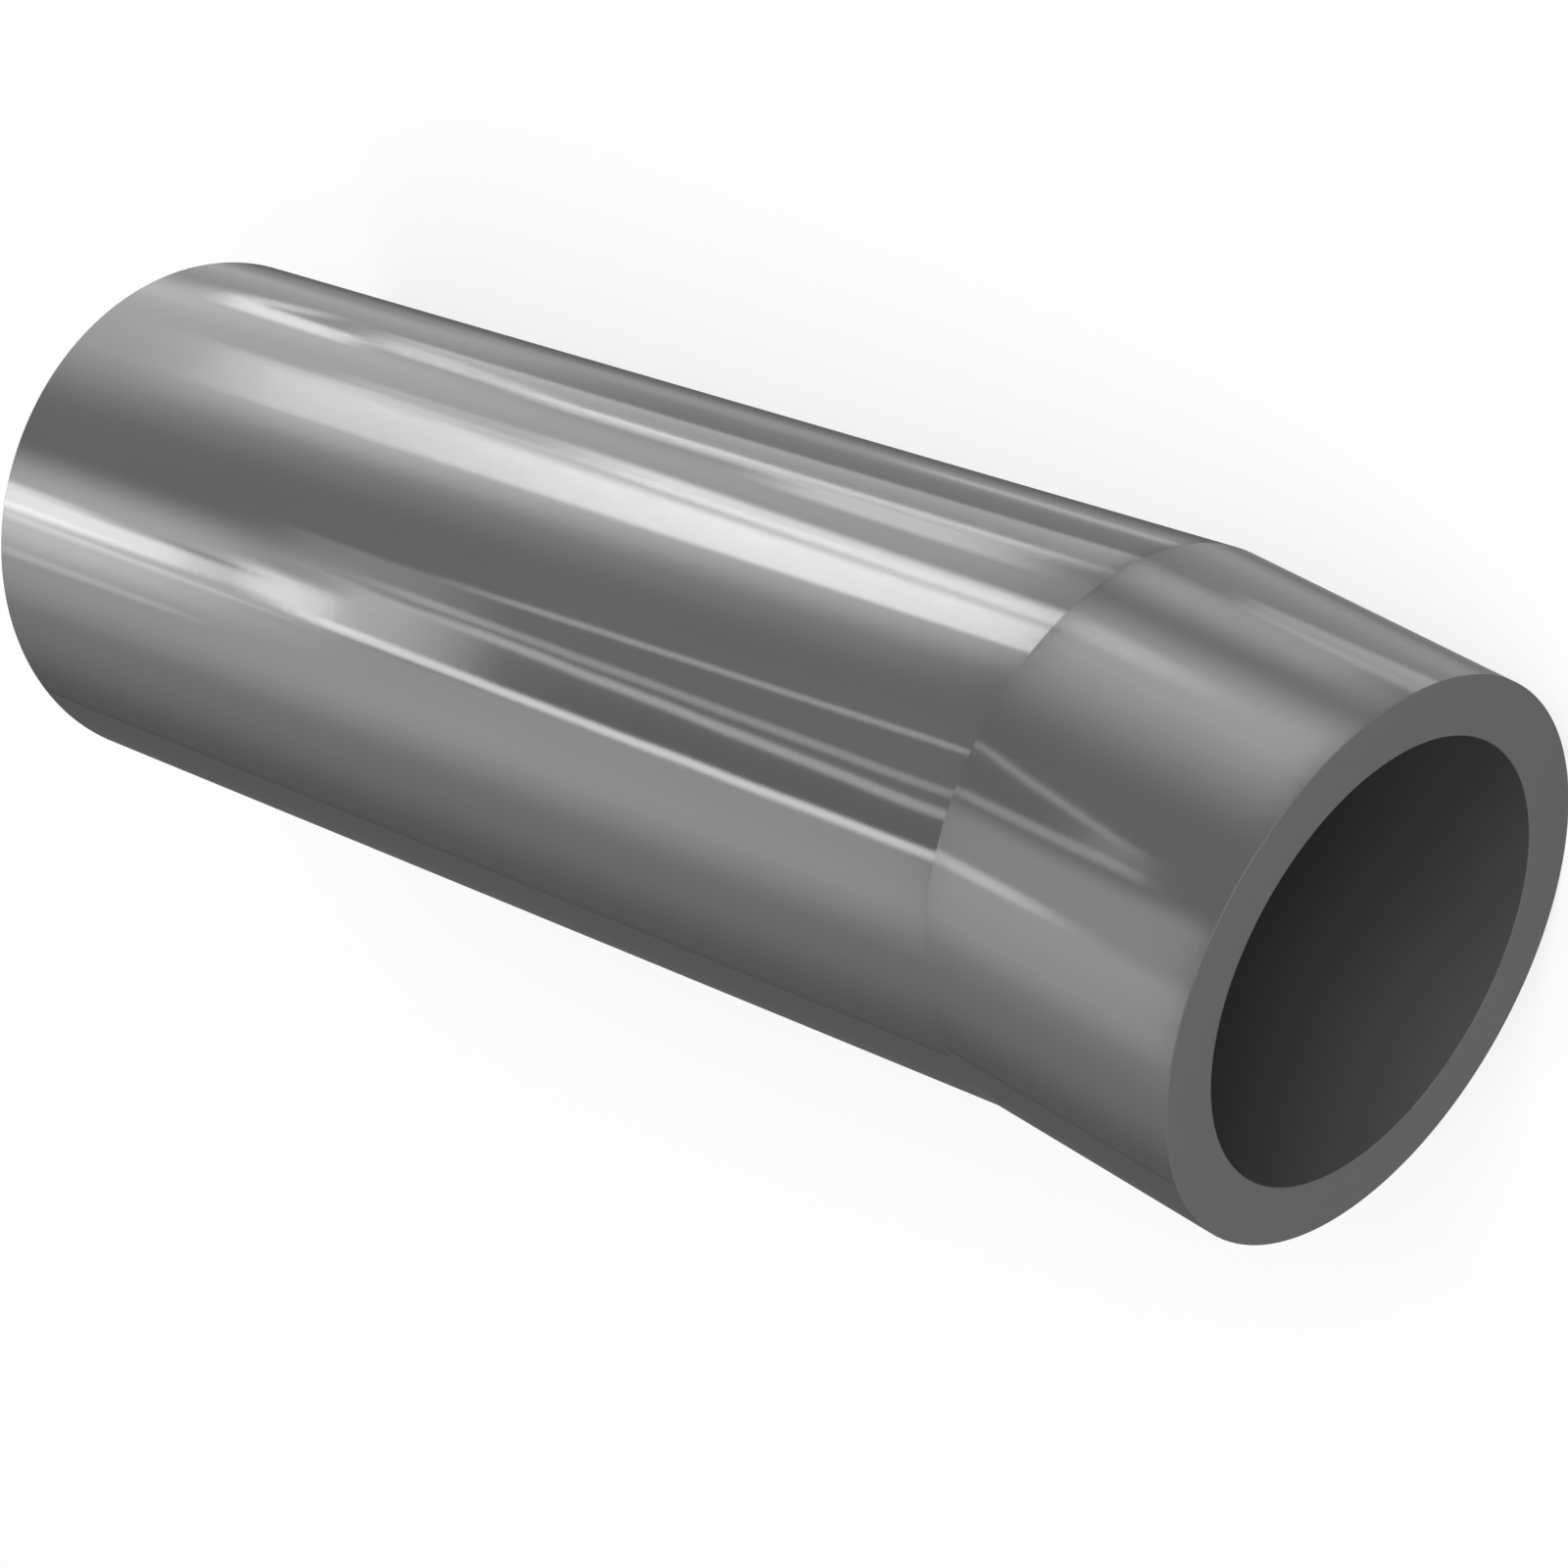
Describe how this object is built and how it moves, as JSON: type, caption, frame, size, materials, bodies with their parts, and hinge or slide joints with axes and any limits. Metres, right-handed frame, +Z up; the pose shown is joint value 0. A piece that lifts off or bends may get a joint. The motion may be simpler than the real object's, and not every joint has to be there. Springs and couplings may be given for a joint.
{
  "type": "silicone turbo hose",
  "caption": "Short round rubber hose with a slight mitred bend near one end, plain open square-cut ends and a reinforced wall, for joining charge-air pipes.",
  "frame": {"origin": "centre of the long leg's end face, on the bore's axis", "axes": "+X along the long leg's axis towards the bend, +Z up, square to the plane of the bend, and the short leg turns away from +X towards -Y; the hose lies on its side on the plane z = -0.024"},
  "size_m": [0.1473, 0.0519, 0.048],
  "materials": {
    "silicone": "glossy grey moulded silicone"
  },
  "bodies": {
    "root": {"hose": "silicone"}
  },
  "joints": []
}
